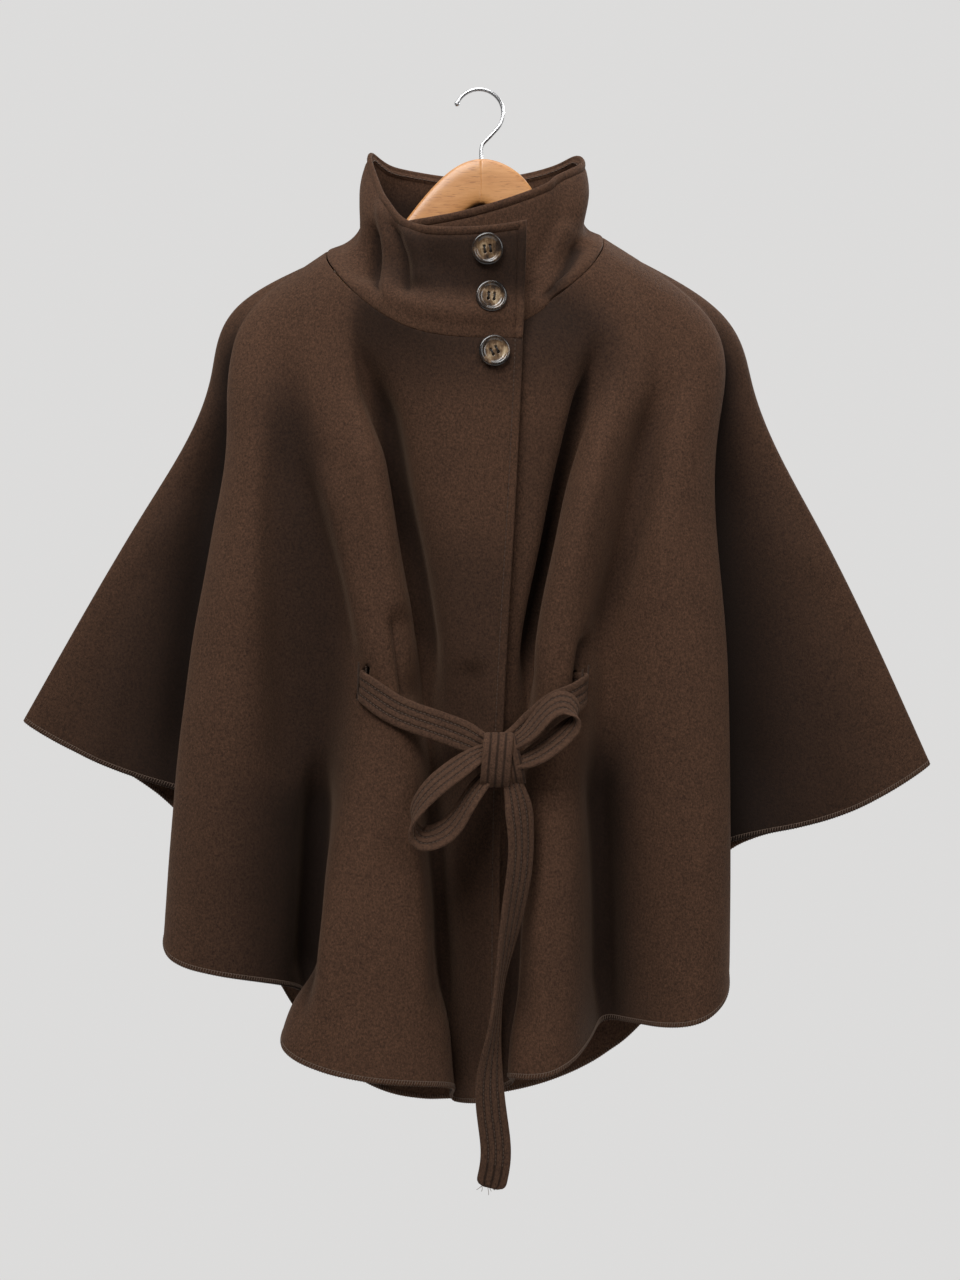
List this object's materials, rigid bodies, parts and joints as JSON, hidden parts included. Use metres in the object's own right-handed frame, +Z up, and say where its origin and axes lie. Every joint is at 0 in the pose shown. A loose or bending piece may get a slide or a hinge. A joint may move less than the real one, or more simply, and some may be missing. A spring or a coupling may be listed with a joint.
{
  "type": "belted cape on a wooden hanger",
  "caption": "Brown wool cape with a tall funnel collar, button front and tie belt through front slits, hung on a wooden hanger with a wire hook.",
  "frame": {"origin": "underside of the crown of the hanger's hook, where a rod or wall hook carries it", "axes": "+Z up, -Y out of the cape's front, +X to the wearer's left"},
  "size_m": [0.8556, 0.1741, 1.0073],
  "materials": {
    "wool": "short napped wool coating",
    "belt_wool": "sewn wool belt",
    "horn": "polished horn look",
    "wood": "clear lacquer",
    "steel": "bright plated wire"
  },
  "bodies": {
    "root": {"back_panel": "wool", "front_right": "wool", "front_left": "wool", "collar": "wool", "belt_back": "belt_wool", "belt_strand_right": "belt_wool", "belt_strand_left": "belt_wool", "belt_knot": "belt_wool", "belt_loop_upper": "belt_wool", "belt_loop_lower": "belt_wool", "belt_tail": "belt_wool", "button_top": "horn", "button_middle": "horn", "button_bottom": "horn", "hanger_wood": "wood", "hanger_hook": "steel"}
  },
  "joints": []
}
